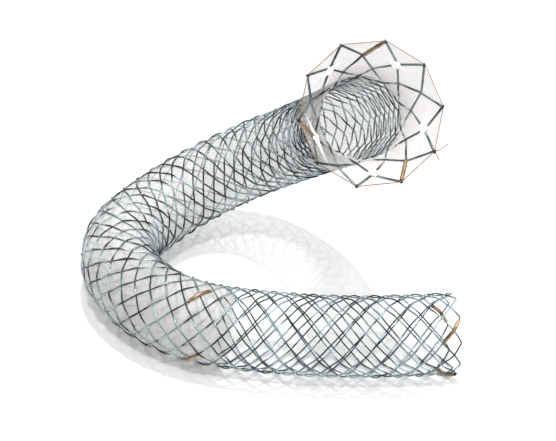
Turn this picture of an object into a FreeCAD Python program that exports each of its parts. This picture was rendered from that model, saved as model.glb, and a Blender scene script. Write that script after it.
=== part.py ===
import FreeCAD, Part
import math
import os
from FreeCAD import Rotation, Vector

# Partly covered, braided, self-expanding biliary stent, lying bent as it comes to rest.
# Millimetres, +Z up. The plain end opens towards +X, and the floor is Z = 0.

# Tube
tube_d = 10.0            # outside diameter of the braid
mouth_d = 16.6           # across the peaks of the flared end
flare_l = 4.8            # length of the flare, from its neck to the peaks
flare_curve = 1.5        # how late the flare opens, 1 for a plain cone

# Braid: one round wire, laid up and down the mandrel until it meets its own start. It comes
# back only after all its passes because levels and peaks share no factor.
wire_d = 0.22            # wire
peaks = 10               # peaks at each end, so twice as many wires cross each level
bare_pitch = 2.50        # length of a full diamond in the bare part
cover_pitch = 2.22       # length of a full diamond under the film
end_share = 0.68         # height of the plain end's last crossing row, against the others
bare_levels = 14         # crossing levels at the full bare pitch
blend_levels = 10        # levels over which the pitch closes up
cover_levels = 70        # levels under the film, up to the neck of the flare
flare_levels = 3         # levels in the flare
seam_turn = 44.0         # turn of the first peak from straight up, in degrees
crossing_gap = 0.02      # air between two wires where they cross
peak_round = 0.2         # share of a strut that the round of a peak takes

# Film
film_t = 0.12
film_gap = 0.12          # air between film and wires
film_flare_gap = 0.25    # the same at the mouth, where the sleeves sit low on the wire
film_first_level = 23    # the film's edge runs zigzag between this level and the one before
film_mouth_back = 0.45   # how far the film's rim stays behind the peaks
film_stride = 3          # levels between the film's folds

# Retrieval thread, once round the mouth with a turn about the wire at each peak
thread_d = 0.13
thread_gap = 0.02        # air between thread and wire
turn_l = 0.30            # length of wire that a turn of thread takes
knot_d = 0.60
knot_peak = 6            # the peak that carries the knot, counted from the first
tail_l = 1.30            # the two cut tails

# Marker sleeves, slid over the wire where it runs up the tube. Each starts from a crossing,
# given by its turn round the tube, and reaches from one level to another.
sleeve_wall = 0.06
sleeve_gap = 0.012       # air between sleeve and wire
plain_turns = [5, 11, 17]
plain_reach = (0.32, 1.80)
middle_turns = [3, 9, 17]
middle_level = 25
middle_reach = (24.45, 25.75)
flare_turns = [7, 1, 15]
flare_reach = (0.80, 0.26)          # counted back from the mouth

# Centreline, as arcs that run on from one another: length, heading and rise at the end.
# Headings are in degrees from +X towards +Y. It starts at the plain end, heading 180.
start_heading = 180.0
straight_l = 6.0
bends = [
    (21.5, 163.0, 0.0),
    (14.5, 117.0, 0.0),
    (12.5, 55.0, 0.0),
    (11.5, 6.0, 26.0),
    (11.0, -41.0, 37.0),
    (18.0, -81.5, 37.0),
]

# What follows from those sizes
levels = bare_levels + blend_levels + cover_levels + flare_levels
steps = 2 * levels * peaks
step_turn = 180.0 / peaks
wire_r = 0.66 * wire_d                          # corner radius of the three-sided section
crossing_lift = (1.5 * wire_r + crossing_gap) / 2
mid_r = tube_d / 2 - crossing_lift - wire_r     # middle of the braid
mouth_r = mouth_d / 2 - wire_r
film_r = mid_r - crossing_lift - wire_r / 2 - film_gap
sleeve_bore_r = (wire_r + sleeve_gap) / math.cos(math.pi / 6)
sleeve_r = sleeve_bore_r + sleeve_wall
sleeve_lift = sleeve_r + wire_r + crossing_gap - 2 * crossing_lift
thread_r = 0.66 * thread_d
turn_r = (wire_r + thread_r + thread_gap) / math.cos(math.pi / 6)


def heading(azimuth, rise):
    """Unit vector of a heading and a rise, both in degrees."""
    a = math.radians(azimuth)
    r = math.radians(rise)
    return Vector(math.cos(r) * math.cos(a), math.cos(r) * math.sin(a), math.sin(r))


def lay_out_runs():
    """The centreline's arcs, each with its start, directions, axis and angle."""
    place = Vector(0, 0, tube_d / 2)
    along = heading(start_heading, 0)
    up = Vector(0, 0, 1)
    runs = [(0.0, straight_l, place, along, up, None, 0.0)]
    place = place + along * straight_l
    done = straight_l
    for length, azimuth, rise in bends:
        new_along = heading(azimuth, rise)
        angle = along.getAngle(new_along)
        axis = along.cross(new_along).normalize()
        runs.append((done, length, place, along, up, axis, angle))
        radius = length / angle
        inward = axis.cross(along)
        place = place + along * (radius * math.sin(angle)) + inward * (radius * (1 - math.cos(angle)))
        up = Rotation(axis, math.degrees(angle)).multVec(up)
        along = new_along
        done += length
    runs.append((done, 0.0, place, along, up, None, 0.0))
    return runs


runs = lay_out_runs()


def centreline(s):
    """Point, direction and carried-along up vector at s along the tube."""
    run = [r for r in runs if r[0] <= s or r is runs[0]][-1]
    start, length, place, along, up, axis, angle = run
    t = s - start
    if axis is None:
        return place + along * t, along, up
    turned = angle * t / length
    radius = length / angle
    inward = axis.cross(along)
    turn = Rotation(axis, math.degrees(turned))
    here = place + along * (radius * math.sin(turned)) + inward * (radius * (1 - math.cos(turned)))
    return here, turn.multVec(along), turn.multVec(up)


def level_stations():
    """Distance of each crossing level from the plain end."""
    neck_level = levels - flare_levels
    s = [0.0]
    for i in range(neck_level):
        blend = min(max((i + 0.5 - bare_levels) / blend_levels, 0.0), 1.0)
        height = (bare_pitch + (cover_pitch - bare_pitch) * blend) / 2
        s.append(s[-1] + height * (end_share if i == 0 else 1.0))
    for i in range(flare_levels):
        s.append(s[-1] + flare_l / flare_levels)
    return s


stations = level_stations()


def station(level):
    """Distance from the plain end of a level, which may lie between two crossings."""
    i = min(max(int(level), 0), levels - 1)
    return stations[i] + (stations[i + 1] - stations[i]) * (level - i)


def flare_share(level):
    """0 along the body, growing to 1 at the peaks of the mouth."""
    return max(level - (levels - flare_levels), 0.0) / flare_levels


def on_tube(level, turns, radius, flared_radius):
    """Point of the tube's surface, and the outward direction there."""
    share = flare_share(level) ** flare_curve
    r = radius + (flared_radius - radius) * share
    centre, along, up = centreline(station(level))
    a = math.radians(seam_turn - step_turn * turns)
    out = up * math.cos(a) + along.cross(up) * math.sin(a)
    return centre + out * r, out


def level_of(step):
    """Level that the wire has reached after so many steps round the tube."""
    folded = step % (2 * levels)
    return folded if folded <= levels else 2 * levels - folded


def step_on_pass(number, level):
    """Step of the wire on one pass over the tube, at a level."""
    base = number * levels
    return base + (level if number % 2 == 0 else levels - level)


def pass_through(level, turn):
    """Number of the upward pass that goes through a crossing."""
    for number in range(0, 2 * peaks, 2):
        if (step_on_pass(number, level) - turn) % (2 * peaks) == 0:
            return number
    return 0


def all_sleeves():
    """Every sleeve's name, with the steps of the wire where it starts and ends."""
    mouth_reach = [levels - back for back in flare_reach]
    rows = [
        ("marker_plain", 1, plain_turns, plain_reach),
        ("marker_middle", middle_level, middle_turns, middle_reach),
        ("marker_flare", levels, flare_turns, mouth_reach),
    ]
    found = []
    for name, level, turns, (first, last) in rows:
        for i, turn in enumerate(turns):
            number = pass_through(level, turn)
            found.append((name + "_" + str(i + 1), step_on_pass(number, first), step_on_pass(number, last)))
    return found


sleeves = all_sleeves()
lifted = {step for name, first, last in sleeves for step in range(math.ceil(first), math.floor(last) + 1)}


def wire_point(step):
    """Middle of the wire at a crossing: over the other wire at one level, under it at the next."""
    level = level_of(step)
    running_up = (step // levels) % 2 == 0
    over = (level % 2 == 1) == running_up
    lift = crossing_lift if over else -crossing_lift
    if step in lifted:
        lift += sleeve_lift
    return on_tube(level, step, mid_r + lift, mouth_r + lift)


def shoulder_point(step, side):
    """Point of a peak: its tip for side 0, or its shoulder before or after the tip."""
    inward = 1 if level_of(step) == 0 else -1
    level = level_of(step) + 0.55 * abs(side) * inward
    return on_tube(level, step + side, mid_r, mouth_r)


def is_peak(step):
    return step % levels == 0


def wire_route():
    """The wire's whole closed route."""
    route = []
    for step in range(steps):
        if is_peak(step):
            for side in (-peak_round, 0.0, peak_round):
                route.append(shoulder_point(step, side))
        else:
            route.append(wire_point(step))
    return route


def strut_point(place):
    """Point of the wire part of the way along the strut between two steps."""
    low = math.floor(place)
    start = low + peak_round if is_peak(low) else low
    end = low + 1 - peak_round if is_peak(low + 1) else low + 1
    a, out_a = shoulder_point(low, peak_round) if is_peak(low) else wire_point(low)
    b, out_b = shoulder_point(low + 1, -peak_round) if is_peak(low + 1) else wire_point(low + 1)
    share = (place - start) / (end - start)
    return a + (b - a) * share, out_a + (out_b - out_a) * share


def ring(centre, along, out, radius, corners):
    """Closed section of a wire or sleeve, with one corner outwards."""
    side = along.cross(out).normalize()
    rise = side.cross(along).normalize()
    points = []
    for i in range(corners):
        a = 2 * math.pi * i / corners
        points.append(centre + rise * (radius * math.cos(a)) + side * (radius * math.sin(a)))
    return points


def closed_skin(sections):
    """Solid with flat facets through a closed row of closed sections of equal corner count."""
    corners = len(sections[0])
    points = [point for section in sections for point in section]
    facets = []
    for i in range(len(sections)):
        here = i * corners
        there = (i + 1) % len(sections) * corners
        for j in range(corners):
            k = (j + 1) % corners
            facets.append((here + j, there + j, there + k))
            facets.append((here + j, there + k, here + k))
    shell = Part.Shape()
    shell.makeShapeFromMesh((points, facets), 1e-6)
    solid = Part.Solid(Part.Shell(shell.Faces))
    return solid if solid.Volume > 0 else solid.reversed()


def directions(points, closed):
    """Direction of a route at each of its points."""
    count = len(points)
    found = []
    for i in range(count):
        ahead = points[(i + 1) % count] - points[i]
        behind = points[i] - points[i - 1]
        if not closed and i == 0:
            behind = ahead
        if not closed and i == count - 1:
            ahead = behind
        found.append((Vector(ahead).normalize() + Vector(behind).normalize()).normalize())
    return found


def rings(route, radius, corners, closed):
    """Sections along a route of points and outward directions."""
    alongs = directions([point for point, out in route], closed)
    return [ring(point, along, out, radius, corners) for (point, out), along in zip(route, alongs)]


def make_sleeve(first, last):
    """Thin tube round the wire between two places along it."""
    places = [first] + list(range(math.ceil(first), math.floor(last) + 1)) + [last]
    route = [strut_point(place) if place != int(place) else wire_point(int(place)) for place in places]
    outside = rings(route, sleeve_r, 6, False)
    bore = rings(route, sleeve_bore_r, 6, False)
    return closed_skin(outside + bore[::-1])


def peak_frame(turn):
    """Tip of a mouth peak, with the directions out of the mouth, outwards and round it."""
    tip, out = on_tube(levels, turn, mid_r, mouth_r)
    ahead = centreline(station(levels))[1]
    return tip, ahead, out, ahead.cross(out) * -1


def thread_turn(turn):
    """The thread's turn about the wire at one peak."""
    tip, ahead, out, round_mouth = peak_frame(turn)
    route = []
    for i in range(7):
        a = math.radians(60 * i)
        away = ahead * math.cos(a) + out * math.sin(a)
        route.append((tip + away * turn_r + round_mouth * (turn_l * (i / 6 - 0.5)), away))
    return route


def rod(points, radii, out, corners):
    """Solid rod with a radius of its own at each point and a cap at each end."""
    alongs = directions(points, False)
    sections = [ring(p, d, out, r, corners) for p, d, r in zip(points, alongs, radii)]
    wires = [Part.makePolygon(section + section[:1]) for section in sections]
    return Part.makeLoft(wires, True, True)


def make_thread():
    route = []
    first = levels % 2
    for peak in range(peaks):
        route += thread_turn(first + 2 * peak)
    loop = closed_skin(rings(route, thread_r, 3, True))
    tip, ahead, out, round_mouth = peak_frame(first + 2 * knot_peak)
    r = knot_d / 2
    heart = tip + ahead * (turn_r + 0.6 * r)
    belly = [heart + round_mouth * (r * x) for x in (-0.95, -0.5, 0.5, 0.95)]
    knot = rod(belly, [0.4 * r, r, r, 0.4 * r], ahead, 6)
    tails = []
    for lean, length in ((-0.9, tail_l), (0.7, 0.8 * tail_l)):
        way = (out + round_mouth * lean + ahead * 0.35).normalize()
        bend = heart + way * (0.55 * length) + ahead * 0.06
        tails.append(rod([heart, bend, heart + way * length], [thread_r] * 3, ahead, 3))
    return loop.fuse([knot] + tails)


def make_braid():
    return closed_skin(rings(wire_route(), wire_r, 3, True))


def make_film():
    """Film under the wires, as lines along the tube that are lofted round it."""
    neck_level = levels - flare_levels
    body = list(range(film_first_level + 2, neck_level, film_stride))
    rim = levels - film_mouth_back * flare_levels / flare_l
    lines = []
    for turn in range(2 * peaks):
        first = film_first_level if turn % 2 == film_first_level % 2 else film_first_level - 1
        stops = [first] + body + list(range(neck_level, levels)) + [rim]
        on_peak = turn % 2 == levels % 2
        outer = []
        inner = []
        for stop in stops:
            # between two peaks the film follows the straight thread
            flat = 1.0 if on_peak else 1.0 - (1 - math.cos(math.radians(step_turn))) * flare_share(stop) ** 3
            mouth = (mouth_r - crossing_lift - wire_r / 2 - film_flare_gap) * flat
            outer.append(on_tube(stop, turn, film_r, mouth)[0])
            inner.append(on_tube(stop, turn, film_r - film_t, mouth - film_t)[0])
        lines.append(outer + inner[::-1])
    return closed_skin(lines)


pieces = {
    "wire_braid": make_braid(),
    "cover_membrane": make_film(),
    "retrieval_thread": make_thread(),
}
for name, first, last in sleeves:
    pieces[name] = make_sleeve(first, last)

# The origin is the middle of the footprint, on the floor
box = Part.makeCompound(list(pieces.values())).BoundBox
shift = Vector(-box.Center.x, -box.Center.y, -box.ZMin)

os.makedirs("parts", exist_ok=True)
for name, shape in pieces.items():
    shape.translate(shift)
    shape.exportStep("parts/" + name + ".step")
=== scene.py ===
import bpy
import math
from mathutils import Matrix, Quaternion, Vector, noise


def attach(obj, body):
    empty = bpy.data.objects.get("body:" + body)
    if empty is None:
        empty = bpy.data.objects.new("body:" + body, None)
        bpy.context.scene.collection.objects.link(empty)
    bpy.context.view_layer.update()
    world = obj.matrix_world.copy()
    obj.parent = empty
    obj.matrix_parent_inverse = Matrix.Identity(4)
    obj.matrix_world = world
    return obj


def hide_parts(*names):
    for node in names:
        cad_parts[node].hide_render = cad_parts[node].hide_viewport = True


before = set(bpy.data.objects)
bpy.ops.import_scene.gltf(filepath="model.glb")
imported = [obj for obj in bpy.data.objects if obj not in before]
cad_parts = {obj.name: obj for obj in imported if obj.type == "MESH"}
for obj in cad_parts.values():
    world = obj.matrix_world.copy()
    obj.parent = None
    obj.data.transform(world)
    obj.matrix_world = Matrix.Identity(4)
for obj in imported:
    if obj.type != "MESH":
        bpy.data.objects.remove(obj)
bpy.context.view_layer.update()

# Braid
# One nickel-titanium wire, plaited over one and under one up and down the tube, with ten rounded
# peaks at each end. Heat sets its shape and leaves a dark blue-green oxide. It holds itself.
mm = 0.001
tube_d = 10.0 * mm
mouth_d = 16.6 * mm
flare_l = 4.8 * mm
flare_curve = 1.5
weave_in = 0.264 * mm          # from the tube's outside to the middle of the weave
peak_in = 0.145 * mm           # the same at the peaks of the mouth
peaks = 10
bare_pitch = 2.50 * mm          # length of a diamond of the weave
cover_pitch = 2.22 * mm
end_share = 0.68               # height of the plain end's row, as a share of the next one's
bare_levels = 14
blend_levels = 10
cover_levels = 70
flare_levels = 3
seam_turn = 44.0               # degrees round the tube from its top to the weave's first peak

wire_d = 0.22 * mm
wire_sides = 2                 # steps of roundness of the wire
bare_share = 0.81              # thickness of the bare wire, as a share of wire_d
covered_share = 0.90           # the same where the film's silicone wets the wire
mouth_share = 1.30             # and at the mouth, with a skin of silicone
wet_after = 7                  # levels past the bare ones where the silicone starts
wet_levels = 5
crossing_lift = 0.115 * mm     # how far a wire rises or dips where it crosses another
plain_peak_round = 0.20        # rounding of a peak, in crossings
mouth_peak_round = 0.09
round_reach = 1.5              # and how far from the peak it is felt
strut_steps = 5
end_strut_steps = 10
mouth_straightness = 0.9       # of the struts of the ends' rows, 1 being a straight line
plain_straightness = 0.54
straighten_levels = 1.5        # over which they become so

# Centreline from the plain end: length, heading and rise at the end of each arc
plain_end_middle = Vector((22.0378, -14.9272, 4.9514)) * mm
straight_l = 6.0 * mm
bends = [
    (21.5 * mm, 163.0, 0.0),
    (14.5 * mm, 117.0, 0.0),
    (12.5 * mm, 55.0, 0.0),
    (11.5 * mm, 6.0, 26.0),
    (11.0 * mm, -41.0, 37.0),
    (18.0 * mm, -81.5, 37.0),
]

flare_start = bare_levels + blend_levels + cover_levels
levels = flare_start + flare_levels
steps = 2 * levels * peaks
step_turn = math.radians(180 / peaks)
wire_r = wire_d / 2
mid_r = tube_d / 2 - weave_in
mouth_r = mouth_d / 2 - peak_in


def heading(azimuth, rise):
    a = math.radians(azimuth)
    r = math.radians(rise)
    return Vector((math.cos(r) * math.cos(a), math.cos(r) * math.sin(a), math.sin(r)))


def lay_out_runs():
    """The centreline's arcs, each with its start, directions, axis and angle."""
    along = heading(180, 0)
    up = Vector((0, 0, 1))
    place = plain_end_middle + along * straight_l
    found = [(0.0, straight_l, plain_end_middle, along, up, None, 0.0)]
    done = straight_l
    for length, azimuth, rise in bends:
        new_along = heading(azimuth, rise)
        angle = along.angle(new_along)
        axis = along.cross(new_along).normalized()
        found.append((done, length, place, along, up, axis, angle))
        radius = length / angle
        inward = axis.cross(along)
        place = place + along * (radius * math.sin(angle)) + inward * (radius * (1 - math.cos(angle)))
        up = Quaternion(axis, angle) @ up
        along = new_along
        done += length
    found.append((done, 0.0, place, along, up, None, 0.0))
    return found


runs = lay_out_runs()


def centreline(s):
    """Point, direction and carried-along up vector at s along the tube."""
    start, length, place, along, up, axis, angle = [r for r in runs if r[0] <= s or r is runs[0]][-1]
    t = s - start
    if axis is None:
        return place + along * t, along, up
    turned = angle * t / length
    radius = length / angle
    inward = axis.cross(along)
    here = place + along * (radius * math.sin(turned)) + inward * (radius * (1 - math.cos(turned)))
    turn = Quaternion(axis, turned)
    return here, turn @ along, turn @ up


stations = [0.0]
for i in range(flare_start):
    blend = min(max((i + 0.5 - bare_levels) / blend_levels, 0.0), 1.0)
    height = (bare_pitch + (cover_pitch - bare_pitch) * blend) / 2
    stations.append(stations[-1] + height * (end_share if i == 0 else 1.0))
for i in range(flare_levels):
    stations.append(stations[-1] + flare_l / flare_levels)


def station(level):
    """How far along the centreline a level of the weave is."""
    i = min(max(int(level), 0), levels - 1)
    return stations[i] + (stations[i + 1] - stations[i]) * (level - i)


def flare_share(level):
    return max(level - flare_start, 0.0) / flare_levels


def on_tube(level, turns, radius, flared_radius):
    """Point of the tube's surface, and the outward direction there."""
    r = radius + (flared_radius - radius) * flare_share(level) ** flare_curve
    centre, along, up = centreline(station(level))
    a = math.radians(seam_turn) - step_turn * turns
    out = up * math.cos(a) + along.cross(up) * math.sin(a)
    return centre + out * r, out


def smooth(x):
    x = min(max(x, 0.0), 1.0)
    return x * x * (3 - 2 * x)


def folded(place):
    """How far up the tube the wire is after so many crossings."""
    t = place % (2 * levels)
    return t if t <= levels else 2 * levels - t


def level_at(place):
    """The same, with the peaks rounded."""
    t = folded(place)
    near = min(t, levels - t)
    peak_round = plain_peak_round if t < levels / 2 else mouth_peak_round
    rounded = math.sqrt(near * near + peak_round ** 2) - peak_round * (1 - smooth(near / round_reach))
    return rounded if t < levels / 2 else levels - rounded


# Where the sleeves sit, because the wire under a sleeve stands off the wires that it crosses:
# the level of a row's crossings, their turns, and the levels where a sleeve starts and ends
sleeve_r = 0.225 * mm
sleeve_gap = 0.01 * mm
sleeve_rows = [
    ("marker_plain", 1, (5, 11, 17), (0.32, 1.86)),
    ("marker_middle", 25, (3, 9, 17), (24.20, 25.84)),
    ("marker_flare", levels, (7, 1, 15), (levels - 0.93, levels - 0.12)),
]
sleeve_spans = []
for row, level, turns, (low, high) in sleeve_rows:
    for i, turn in enumerate(turns):
        strut = next(n for n in range(0, 2 * peaks, 2) if (n * levels + level - turn) % (2 * peaks) == 0)
        sleeve_spans.append((row + "_" + str(i + 1), strut * levels + low, strut * levels + high))
sleeved = {n for row, low, high in sleeve_spans for n in range(math.ceil(low), math.floor(high) + 1)}


def lift_of(step):
    """Rise of the wire at a crossing: over the other wire at one level, under it at the next."""
    level = folded(step)
    if level in (0, levels):
        return 0.0
    running_up = (step // levels) % 2 == 0
    lift = crossing_lift if (level % 2 == 1) == running_up else -crossing_lift
    if step % steps in sleeved:
        lift += sleeve_r + wire_r + sleeve_gap - 2 * crossing_lift
    return lift


def wire_middle(place):
    """Middle of the wire, and the outward direction, at a place counted in crossings."""
    low = math.floor(place)
    share = (1 - math.cos(math.pi * (place - low))) / 2
    lift = lift_of(low) + (lift_of(low + 1) - lift_of(low)) * share
    level = level_at(place)
    point, out = on_tube(level, place, mid_r + lift, mouth_r + lift)
    # at both ends the struts run straight from crossing to crossing
    straight = mouth_straightness * smooth((level - flare_start + 1) / straighten_levels)
    straight += plain_straightness * smooth((2 - level) / straighten_levels)
    if straight > 0:
        ends = [on_tube(level_at(n), n, mid_r + lift, mouth_r + lift)[0] for n in (low, low + 1)]
        done = (level - level_at(low)) / (level_at(low + 1) - level_at(low))
        point = point.lerp(ends[0].lerp(ends[1], done), straight)
    return point, out


def laid_curve(name, points, radius, sides, closed, swells=None):
    """A round wire or ply along a row of points, as a mesh."""
    bpy.ops.object.select_all(action="DESELECT")
    curve = bpy.data.curves.new(name, "CURVE")
    curve.dimensions = "3D"
    curve.bevel_depth = radius
    curve.bevel_resolution = sides
    curve.use_fill_caps = not closed
    spline = curve.splines.new("POLY")
    spline.points.add(len(points) - 1)
    for point, place in zip(spline.points, points):
        point.co = (*place, 1)
    if swells:
        for point, swell in zip(spline.points, swells):
            point.radius = swell
    spline.use_cyclic_u = closed
    piece = bpy.data.objects.new(name, curve)
    bpy.context.scene.collection.objects.link(piece)
    bpy.context.view_layer.objects.active = piece
    piece.select_set(True)
    bpy.ops.object.convert(target="MESH")
    piece.data.name = name
    bpy.ops.object.shade_smooth()
    return piece


wire_points = []
wire_swells = []
for step in range(steps):
    near_end = folded(step + 0.5) < 1 or folded(step + 0.5) > flare_start
    count = end_strut_steps if near_end else strut_steps
    for i in range(count):
        place = step + i / count
        wire_points.append(wire_middle(place)[0])
        level = folded(place)
        wet = smooth((level - bare_levels - wet_after) / wet_levels)
        thin = bare_share + (covered_share - bare_share) * wet
        wire_swells.append(thin + (mouth_share - thin) * flare_share(level))
wire = laid_curve("braided_wire", wire_points, wire_r, wire_sides, True, wire_swells)


def add_node(tree, kind, place, **settings):
    """A shader node with its settings, and its sockets set by name."""
    made = tree.nodes.new(kind)
    made.location = place
    for key, value in settings.items():
        if hasattr(made, key):
            setattr(made, key, value)
        else:
            made.inputs[key.replace("_", " ")].default_value = value
    return made


def ramp(tree, mask, place, **settings):
    """A mask spread over another range."""
    made = add_node(tree, "ShaderNodeMapRange", place, **settings)
    tree.links.new(mask, made.inputs["Value"])
    return made.outputs["Result"]


def product(tree, first, second, place):
    """Two masks multiplied."""
    made = add_node(tree, "ShaderNodeMath", place, operation="MULTIPLY")
    tree.links.new(first, made.inputs[0])
    tree.links.new(second, made.inputs[1])
    return made.outputs["Value"]


def between(tree, mask, low, high, target, place):
    """Drives a socket between two colours or two values by a mask."""
    if isinstance(low, tuple):
        mixer = add_node(tree, "ShaderNodeMix", place, data_type="RGBA")
        mixer.inputs[6].default_value = (*low, 1)
        mixer.inputs[7].default_value = (*high, 1)
        tree.links.new(mask, mixer.inputs[0])
        tree.links.new(mixer.outputs[2], target)
    else:
        tree.links.new(ramp(tree, mask, place, To_Min=low, To_Max=high), target)


def bumped(tree, mask, depth, shader):
    """Fine relief of a given depth."""
    bump = add_node(tree, "ShaderNodeBump", (-300, -400), Strength=0.5, Distance=depth)
    tree.links.new(mask, bump.inputs["Height"])
    tree.links.new(bump.outputs["Normal"], shader.inputs["Normal"])


def mottle_group():
    """Uneven cloudiness: a mask of coarse patches and one of fine grain."""
    group = bpy.data.node_groups.new("mottle", "ShaderNodeTree")
    for name, value in (("Patch Scale", 300.0), ("Grain Scale", 3000.0)):
        socket = group.interface.new_socket(name, in_out="INPUT", socket_type="NodeSocketFloat")
        socket.default_value = value
    group.interface.new_socket("Patches", in_out="OUTPUT", socket_type="NodeSocketFloat")
    group.interface.new_socket("Grain", in_out="OUTPUT", socket_type="NodeSocketFloat")
    given = group.nodes.new("NodeGroupInput")
    result = group.nodes.new("NodeGroupOutput")
    where = group.nodes.new("ShaderNodeTexCoord")
    for output, scale, detail in (("Patches", "Patch Scale", 3.0), ("Grain", "Grain Scale", 4.0)):
        clouds = add_node(group, "ShaderNodeTexNoise", (-400, 0), Detail=detail)
        group.links.new(where.outputs["Object"], clouds.inputs["Vector"])
        group.links.new(given.outputs[scale], clouds.inputs["Scale"])
        spread = ramp(group, clouds.outputs["Fac"], (-200, 0), From_Min=0.35, From_Max=0.65)
        group.links.new(spread, result.inputs[output])
    return group


mottle = mottle_group()


def new_material(name, patch_scale, grain_scale):
    """A material with its tree, its Principled shader and its mottle."""
    made = bpy.data.materials.new(name)
    made.use_nodes = True
    tree = made.node_tree
    clouds = add_node(tree, "ShaderNodeGroup", (-900, 0), node_tree=mottle)
    clouds.inputs["Patch Scale"].default_value = patch_scale
    clouds.inputs["Grain Scale"].default_value = grain_scale
    return made, tree, tree.nodes["Principled BSDF"], clouds.outputs["Patches"], clouds.outputs["Grain"]


oxide, tree, shader, patches, grain = new_material("dark_oxide_wire", 330.0, 9000.0)
shader.inputs["Metallic"].default_value = 1.0
# pale patches of the base colour: partly uneven oxide, partly painted reflection
pale_tone_and_reflection = ramp(tree, patches, (-700, 200), interpolation_type="SMOOTHSTEP", From_Min=0.25, From_Max=0.80)
# the pale patches fade towards the mouth, so the wires there are darker
where = add_node(tree, "ShaderNodeTexCoord", (-1300, 400))
away = add_node(tree, "ShaderNodeVectorMath", (-1100, 400), operation="DISTANCE")
away.inputs[1].default_value = centreline(station(levels))[0]
tree.links.new(where.outputs["Object"], away.inputs[0])
free = ramp(tree, away.outputs["Value"], (-900, 400), interpolation_type="SMOOTHSTEP",
            From_Min=8.0 * mm, From_Max=10.5 * mm, To_Min=0.45, To_Max=1.0)
between(tree, product(tree, pale_tone_and_reflection, free, (-500, 300)), (0.038, 0.064, 0.074), (0.40, 0.52, 0.54),
        shader.inputs["Base Color"], (-300, 200))
between(tree, patches, 0.18, 0.34, shader.inputs["Roughness"], (-500, -100))
bumped(tree, grain, 0.004 * mm, shader)
wire.data.materials.append(oxide)
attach(wire, "root")
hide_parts("wire_braid")

# Film
# Clear silicone, dipped over the braid from the flared mouth to a zigzag edge a quarter of the
# way from the plain end. It clings under the wires, puffs a little between them and is pleated
# where the flare starts.
film_t = 0.06 * mm
film_first_level = 23
film_mouth_back = 0.03 * mm
film_under = 0.12 * mm         # of the outer face under the middle of the weave, on the body
film_level_in_weave = 94.5     # where it has risen to the middle of the weave
film_rise_levels = 4
film_puff = 0.10 * mm
wrinkle_h = 0.03 * mm
wrinkle_scale = 1100
fine_wrinkle_h = 0.004 * mm
fine_wrinkle_scale = 3100
pleat_h = 0.20 * mm
pleat_drift_scale = 260
pleat_drift = 5
pleats = 34
pleats_at = (flare_start + 0.3, 1.1)     # level where they are highest, and how far they reach
gathered_at = (flare_start + 0.2, 0.9)   # the same for the haze that they make
taut_from = flare_start - 0.8            # level where the film starts to stretch flat
clear_from = flare_start + 0.3           # and where that starts to make it clearer
taut_levels = 1.2
hazy_before = 62               # level before which the film is hazier, towards the bend
hazy_before_levels = 24
hazy_after = 66                # and after which it is a little hazier, towards the neck
hazy_after_levels = 10
hazy_after_share = 0.8
film_cells = 5                 # cells of its mesh from one crossing to the next
rim_level = levels - film_mouth_back * flare_levels / flare_l


def hump(x, middle, width):
    """1 at the middle, falling away smoothly on both sides."""
    return math.exp(-((x - middle) / width) ** 2)


def crossing_place(level, turn):
    """Middle of the weave at a crossing; past the mouth, in the plane of the last three."""
    if level <= levels:
        return on_tube(level, turn, mid_r, mouth_r)[0]
    sides = crossing_place(level - 1, turn - 1) + crossing_place(level - 1, turn + 1)
    return sides - crossing_place(level - 2, turn)


def stretched_place(level, turn):
    """Point of the weave stretched flat between its crossings, like a tent."""
    u, v = (level + turn) / 2, (level - turn) / 2
    i, j = math.floor(u + 1e-9), math.floor(v + 1e-9)
    low_side = crossing_place(i + j, i - j).lerp(crossing_place(i + j + 1, i + 1 - j), u - i)
    high_side = crossing_place(i + j + 1, i - j - 1).lerp(crossing_place(i + j + 2, i - j), u - i)
    return low_side.lerp(high_side, v - j)


def film_point(around, along):
    """Point of the film's outer face, from two shares between 0 and 1."""
    turn = around * 2 * peaks
    edge = film_first_level - 1 + abs((turn - film_first_level) % 2 - 1)
    level = edge + (rim_level - edge) * along
    puff = abs(math.sin(math.pi * (turn - level) / 2) * math.sin(math.pi * (turn + level) / 2))
    under = film_under * smooth((film_level_in_weave - level) / film_rise_levels)
    point, out = on_tube(level, turn, mid_r - under + film_puff * puff, mouth_r)
    taut = smooth((level - taut_from) / taut_levels)
    if taut > 0:
        point = point.lerp(stretched_place(level, turn), taut)
    near_neck = hump(level, *pleats_at)
    drift = pleat_drift * noise.noise(point * pleat_drift_scale)
    pleat = math.sin(pleats * 2 * math.pi * around + drift) * near_neck * pleat_h
    sway = noise.noise(point * wrinkle_scale) * wrinkle_h
    sway += noise.noise(point * fine_wrinkle_scale) * fine_wrinkle_h
    return point + out * (pleat * 0.5 - pleat_h * 0.5 * near_neck + sway)


def face_outward(merge_under=0.0):
    """Turns the active mesh's faces outward, after merging points that lie together if merge_under is
    given.
    """
    bpy.ops.object.mode_set(mode="EDIT")
    bpy.ops.mesh.select_all(action="SELECT")
    if merge_under:
        bpy.ops.mesh.remove_doubles(threshold=merge_under)
    bpy.ops.mesh.normals_make_consistent(inside=False)
    bpy.ops.object.mode_set(mode="OBJECT")


def walled(piece, thickness):
    """Gives a surface a wall, on its inner side."""
    wall = piece.modifiers.new("wall", "SOLIDIFY")
    wall.thickness = thickness
    wall.offset = -1
    bpy.ops.object.modifier_apply(modifier=wall.name)


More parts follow.
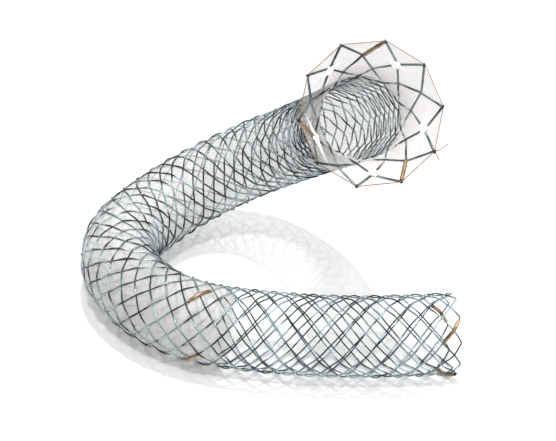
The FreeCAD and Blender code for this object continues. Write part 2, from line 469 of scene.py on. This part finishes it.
bpy.ops.object.select_all(action="DESELECT")
film_columns = film_cells * 2 * peaks
film_rows = film_cells * (levels - film_first_level + 1)
bpy.ops.mesh.primitive_grid_add(x_subdivisions=film_columns, y_subdivisions=film_rows, size=1)
film = bpy.context.object
film.name = "silicone_film"
gathered = film.data.attributes.new("gathered", "FLOAT", "POINT")
stretched = film.data.attributes.new("stretched", "FLOAT", "POINT")
drained = film.data.attributes.new("drained", "FLOAT", "POINT")
for i, vertex in enumerate(film.data.vertices):
    around, along = vertex.co.x + 0.5, vertex.co.y + 0.5
    vertex.co = film_point(around, along)
    level = film_first_level + (levels - film_first_level) * along
    gathered.data[i].value = hump(level, *gathered_at)
    stretched.data[i].value = smooth((level - clear_from) / taut_levels)
    # more silicone stayed where it drained to, towards the bend and towards the neck
    to_bend = smooth((hazy_before - level) / hazy_before_levels)
    to_neck = smooth((level - hazy_after) / hazy_after_levels)
    drained.data[i].value = max(to_bend, hazy_after_share * to_neck)
face_outward(merge_under=0.0005 * mm)
walled(film, film_t)
bpy.ops.object.shade_smooth()

silicone, tree, shader, patches, grain = new_material("clear_silicone", 900.0, 4200.0)
shader.inputs["IOR"].default_value = 1.41
shader.inputs["Specular IOR Level"].default_value = 0.6
share_of = {name: add_node(tree, "ShaderNodeAttribute", (-900, -300), attribute_name=name).outputs["Fac"]
            for name in ("gathered", "stretched", "drained")}
tint = add_node(tree, "ShaderNodeMix", (-400, 200), data_type="RGBA")
tint.inputs[7].default_value = (0.62, 0.57, 0.545, 1)
between(tree, patches, (0.72, 0.70, 0.69), (0.87, 0.85, 0.84), tint.inputs[6], (-700, 200))
tree.links.new(share_of["stretched"], tint.inputs[0])
tree.links.new(tint.outputs[2], shader.inputs["Base Color"])
between(tree, grain, 0.22, 0.42, shader.inputs["Roughness"], (-500, -100))
# haze on the body, then where the flare stretches the film and where the pleats gather it
haze = ramp(tree, share_of["drained"], (-700, -300), To_Min=0.24, To_Max=0.36)
for name, value, x in (("stretched", 0.27, -500), ("gathered", 0.60, -300)):
    mixer = add_node(tree, "ShaderNodeMix", (x, -300), data_type="FLOAT", B=value)
    tree.links.new(share_of[name], mixer.inputs["Factor"])
    tree.links.new(haze, mixer.inputs["A"])
    haze = mixer.outputs["Result"]
# clear silicone scatters light but stops little of it, so its shadow is half as dense
path = add_node(tree, "ShaderNodeLightPath", (-500, -800))
passed = ramp(tree, path.outputs["Is Shadow Ray"], (-300, -800), To_Min=1.0, To_Max=0.5)
tree.links.new(product(tree, haze, passed, (-100, -300)), shader.inputs["Alpha"])
bumped(tree, grain, 0.012 * mm, shader)
film.data.materials.append(silicone)
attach(film, "root")
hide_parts("cover_membrane")

# Film bonds
# Small webs of the same silicone, left where the film is stuck to every other crossing of the row
# next to the mouth's peaks. They are thicker than the film and whiter, and they glow a little: a
# painted highlight for the bright light that they catch.
bond_sharpness = 0.62          # under 1 the rays are pointed
bond_ray = 0.75 * mm           # the rays along the tube
bond_t = 0.16 * mm
bond_level = levels - 1
bond_turns = {0: 3.4, 4: 2.0, 8: 1.7, 12: 2.3, 16: 2.0}      # turn and reach round the mouth, in mm
bond_depth = 1.2               # of its middle under the lower wire's middle, in wire_r
bond_look = 0.3                # levels to the point that shows which way is along the tube
bond_ragged = 0.35
bond_rag_scale = 2.2

thick_silicone_glow, tree, shader, patches, grain = new_material("thick_silicone_glow", 1500.0, 6000.0)
shader.inputs["IOR"].default_value = 1.41
between(tree, patches, (0.86, 0.85, 0.84), (0.95, 0.94, 0.93), shader.inputs["Base Color"], (-500, 200))
between(tree, patches, 0.15, 0.3, shader.inputs["Roughness"], (-500, -100))
bumped(tree, grain, 0.01 * mm, shader)
# painted highlight: a faint glow of their own, for the bright light that the webs catch
shader.inputs["Emission Color"].default_value = (1.0, 0.99, 0.97, 1)
shader.inputs["Emission Strength"].default_value = 0.25
for turn, reach in bond_turns.items():
    middle, out = on_tube(bond_level, turn, mid_r, mouth_r)
    ahead = (on_tube(bond_level + bond_look, turn, mid_r, mouth_r)[0] - middle).normalized()
    side = ahead.cross(out).normalized()
    face = side.cross(ahead).normalized()
    place = middle - face * (crossing_lift + wire_r * bond_depth)
    bpy.ops.object.select_all(action="DESELECT")
    bpy.ops.mesh.primitive_uv_sphere_add(segments=72, ring_count=16, radius=1)
    bond = bpy.context.object
    bond.name = "film_bond_" + str(turn)
    for vertex in bond.data.vertices:
        x, y, z = vertex.co
        a = math.atan2(y, x)
        rag = Vector((bond_rag_scale * math.cos(a), bond_rag_scale * math.sin(a), turn))
        ragged = 1 + bond_ragged * noise.noise(rag)
        rays = abs(math.cos(a) / (reach * mm)) ** bond_sharpness
        rays += abs(math.sin(a) / bond_ray) ** bond_sharpness
        r = rays ** (-1 / bond_sharpness) * ragged * math.hypot(x, y)
        vertex.co = place + side * (r * math.cos(a)) + ahead * (r * math.sin(a)) + face * (z * bond_t / 2)
    face_outward()
    bpy.ops.object.shade_smooth()
    bond.data.materials.append(thick_silicone_glow)
    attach(bond, "root")

# Retrieval thread
# Brown suture of two twisted plies, pulled straight from peak to peak round the mouth. It takes
# two turns about the wire at each peak and ends in one knot with two cut tails.
thread_d = 0.13 * mm
ply_r = 0.036 * mm
ply_spread = 0.8               # distance of a ply from the thread's middle, as a share of ply_r
ply_pitch = 0.55 * mm
ply_steps = 9                  # points in one twist of the plies
hitch_r = wire_r + thread_d / 2 + 0.006 * mm
hitch_turns = 2
hitch_steps = 10 * hitch_turns
hitch_l = 0.34 * mm
knot_peak = 13
knot_r = 0.20 * mm
knot_steps = 60
knot_depth = 1.6
knot_place = (hitch_r + 0.5 * knot_r, 0.05 * mm)             # past its peak, and outwards
tail_steps = 8
tail_ahead = 0.35
tails = ((-0.9, 1.45 * mm, 0.45), (0.7, 1.05 * mm, -0.10))   # lean round the mouth, length, rise


def peak_frame(turn):
    """Tip of a mouth peak, with the directions out of the mouth, outwards and round it."""
    tip, out = on_tube(levels, turn, mid_r, mouth_r)
    ahead = centreline(station(levels))[1]
    return tip, ahead, out, out.cross(ahead)


def hitch_points(turn):
    """Two turns about the wire at a peak."""
    tip, ahead, out, round_mouth = peak_frame(turn)
    found = []
    for i in range(hitch_steps + 1):
        share = i / hitch_steps
        a = 2 * math.pi * hitch_turns * share
        away = ahead * math.cos(a) + out * math.sin(a)
        found.append(tip + away * hitch_r + round_mouth * (hitch_l * (share - 0.5)))
    return found


def resampled(points, gap, closed):
    """Points at an even distance along a row of points."""
    ends = points[1:] + points[:1] if closed else points[1:]
    found = []
    left = 0.0
    for a, b in zip(points, ends):
        length = (b - a).length
        while left < length:
            found.append(a.lerp(b, left / length))
            left += gap
        left -= length
    return found


def joined(pieces):
    """One object of several, which keeps the first one's name."""
    bpy.ops.object.select_all(action="DESELECT")
    for piece in pieces:
        piece.select_set(True)
    bpy.context.view_layer.objects.active = pieces[0]
    bpy.ops.object.join()
    return pieces[0]


def plies(name, points, closed):
    """Two plies twisted about a row of points."""
    path = resampled(points, ply_pitch / ply_steps, closed)
    count = len(path)
    rise = Vector((0, 0, 1))
    strands = [[], []]
    for i, point in enumerate(path):
        before = path[i - 1] if closed or i > 0 else point
        after = path[(i + 1) % count] if closed or i < count - 1 else point
        along = (after - before).normalized()
        rise = (rise - along * rise.dot(along)).normalized()
        side = along.cross(rise)
        a = 2 * math.pi * i / ply_steps
        for strand, sign in zip(strands, (1, -1)):
            strand.append(point + (rise * math.cos(a) + side * math.sin(a)) * (sign * ply_r * ply_spread))
    return joined([laid_curve(name, strand, ply_r, 1, closed) for strand in strands])


def mottled_material(name, scales, colours, roughs, relief):
    """A material whose colour varies by patches, and its gloss and relief by grain."""
    made, tree, shader, patches, grain = new_material(name, *scales)
    between(tree, patches, *colours, shader.inputs["Base Color"], (-500, 200))
    between(tree, grain, *roughs, shader.inputs["Roughness"], (-500, -100))
    bumped(tree, grain, relief, shader)
    return made, shader


hitches = [hitch_points(2 * peak + levels % 2) for peak in range(peaks)]
next_hitches = hitches[1:] + hitches[:1]
brown = [plies("thread_run", [a[-1], b[0]], False) for a, b in zip(hitches, next_hitches)]
dark_turns = [plies("thread_hitch", points, False) for points in hitches]
# the knot is a trefoil just past its peak
tip, ahead, out, round_mouth = peak_frame(knot_peak)
heart = tip + ahead * knot_place[0] + out * knot_place[1]
knot = []
for i in range(knot_steps):
    a = 2 * math.pi * i / knot_steps
    x = (math.sin(a) + 2 * math.sin(2 * a)) / 3
    y = (math.cos(a) - 2 * math.cos(2 * a)) / 3
    z = -math.sin(3 * a) / 3
    knot.append(heart + round_mouth * (x * knot_r) + out * (y * knot_r) + ahead * (z * knot_r * knot_depth))
dark_turns.append(plies("thread_knot", knot, True))
for lean, length, rise in tails:
    way = (out + round_mouth * lean + ahead * tail_ahead).normalized()
    shares = [i / tail_steps for i in range(tail_steps + 1)]
    tail = [heart + way * (length * t) + Vector((0, 0, rise)) * (length * t * t) for t in shares]
    brown.append(plies("thread_tail", tail, False))
colours = ((0.230, 0.110, 0.055), (0.420, 0.240, 0.140))
suture, shader = mottled_material("brown_suture", (700.0, 12000.0), colours, (0.55, 0.8), 0.006 * mm)
shader.inputs["Sheen Weight"].default_value = 0.2
# the hitches and the knot are darker and glossier than the rest of the thread
colours = ((0.010, 0.008, 0.007), (0.045, 0.028, 0.020))
dark_glossy, shader = mottled_material("dark_glossy_suture", (900.0, 12000.0), colours, (0.25, 0.45), 0.006 * mm)
for piece in brown:
    piece.data.materials.append(suture)
for piece in dark_turns:
    piece.data.materials.append(dark_glossy)
thread = joined(brown + dark_turns)
thread.name = "mouth_thread"
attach(thread, "root")
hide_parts("retrieval_thread")

# Marker sleeves
# Nine short gold tubes that X-rays show, slid over the wire before it is plaited and crimped:
# three at the plain end, three at the film's edge and three in the flare.
sleeve_wall = 0.055 * mm
sleeve_sides = 20
sleeve_cuts = 26
crimp_h = 0.012 * mm
crimp_w = 0.035                # as a share of the sleeve's length, as the crimps' places are
crimps = (0.12, 0.5, 0.88)
rim_round = 0.018 * mm

colours = ((0.26, 0.17, 0.10), (0.50, 0.36, 0.23))
gold, shader = mottled_material("dull_gold_sleeve", (1200.0, 14000.0), colours, (0.28, 0.46), 0.005 * mm)
shader.inputs["Metallic"].default_value = 1.0
for name, first, last in sleeve_spans:
    bpy.ops.object.select_all(action="DESELECT")
    bpy.ops.mesh.primitive_cylinder_add(vertices=sleeve_sides, radius=1, depth=1, end_fill_type="NOTHING")
    sleeve = bpy.context.object
    sleeve.name = name + "_sleeve"
    bpy.ops.object.mode_set(mode="EDIT")
    for cut in range(1, sleeve_cuts):
        bpy.ops.mesh.select_all(action="SELECT")
        bpy.ops.mesh.bisect(plane_co=(0, 0, cut / sleeve_cuts - 0.5), plane_no=(0, 0, 1))
    bpy.ops.object.mode_set(mode="OBJECT")
    for vertex in sleeve.data.vertices:
        x, y, z = vertex.co
        share = z + 0.5
        place = first + (last - first) * share
        middle, out = wire_middle(place)
        along = (wire_middle(place + 0.02)[0] - wire_middle(place - 0.02)[0]).normalized()
        side = along.cross(out).normalized()
        rise = side.cross(along)
        dent = sum(hump(share, crimp, crimp_w) for crimp in crimps)
        vertex.co = middle + (rise * x + side * y) * (sleeve_r - crimp_h * dent)
    face_outward()
    walled(sleeve, sleeve_wall)
    rims = sleeve.modifiers.new("rims", "BEVEL")
    rims.width = rim_round
    rims.segments = 2
    rims.limit_method = "ANGLE"
    rims.angle_limit = math.radians(50)
    bpy.ops.object.modifier_apply(modifier=rims.name)
    bpy.ops.object.shade_smooth()
    sleeve.data.materials.append(gold)
    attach(sleeve, "root")
    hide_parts(name)

# Table, light and camera
# A glossy white table under a white sky that is brightest overhead. A small lamp above draws the
# lattice of shadow in front of the plain arm, and a softer one from the viewer's side draws the
# band between the arms.
bpy.ops.object.select_all(action="DESELECT")
bpy.ops.mesh.primitive_plane_add(size=3.0, location=(0, 0, -0.02 * mm))
table = bpy.context.object
table.name = "table"
white = bpy.data.materials.new("white_gloss")
white.use_nodes = True
shader = white.node_tree.nodes["Principled BSDF"]
shader.inputs["Roughness"].default_value = 0.25
shader.inputs["IOR"].default_value = 1.3
shader.inputs["Base Color"].default_value = (0.93, 0.93, 0.93, 1)
table.data.materials.append(white)

world = bpy.data.worlds.new("white_room")
bpy.context.scene.world = world
world.use_nodes = True
tree = world.node_tree
sky = tree.nodes["Background"]
sky.inputs["Color"].default_value = (1.0, 1.0, 1.0, 1)
towards = add_node(tree, "ShaderNodeTexCoord", (-700, 0))
facing = add_node(tree, "ShaderNodeVectorMath", (-500, 0), operation="DOT_PRODUCT")
facing.inputs[1].default_value = Vector((0.40, 0.15, 0.90)).normalized()
tree.links.new(towards.outputs["Generated"], facing.inputs[0])
glow = ramp(tree, facing.outputs["Value"], (-300, 0), interpolation_type="SMOOTHSTEP",
            From_Min=0.20, From_Max=0.62, To_Min=0.12, To_Max=1.20)
tree.links.new(glow, sky.inputs["Strength"])


def lamp(name, aim, towards, distance, size, power):
    """A round lamp that shines on a point from a direction."""
    data = bpy.data.lights.new(name, "AREA")
    data.shape = "DISK"
    data.size = size
    data.energy = power
    lamp_object = bpy.data.objects.new(name, data)
    bpy.context.scene.collection.objects.link(lamp_object)
    way = Vector(towards).normalized()
    lamp_object.location = Vector(aim) + way * distance
    lamp_object.rotation_euler = way.to_track_quat("Z", "Y").to_euler()


lamp("lamp_above", (0.005, -0.012, 0), (0, 0.10, 1), 0.5, 0.006, 0.60)
lamp("lamp_front", (0.010, 0.0, 0.02), (-0.10, -0.37, 0.92), 0.5, 0.050, 0.74)

camera_place = Vector((-0.014061, -0.183275, 0.142433))
right = Vector((0.99666, -0.08087, 0.01098))
up = Vector((0.03793, 0.57810, 0.81508))
back = Vector((-0.07226, -0.81195, 0.57924))
camera_data = bpy.data.cameras.new("view")
camera_data.sensor_width = 36
camera_data.lens = 119.893
camera = bpy.data.objects.new("view", camera_data)
bpy.context.scene.collection.objects.link(camera)
camera.matrix_world = Matrix.Translation(camera_place) @ Matrix((right, up, back)).transposed().to_4x4()
bpy.context.scene.camera = camera
bpy.context.scene.view_settings.view_transform = "Standard"
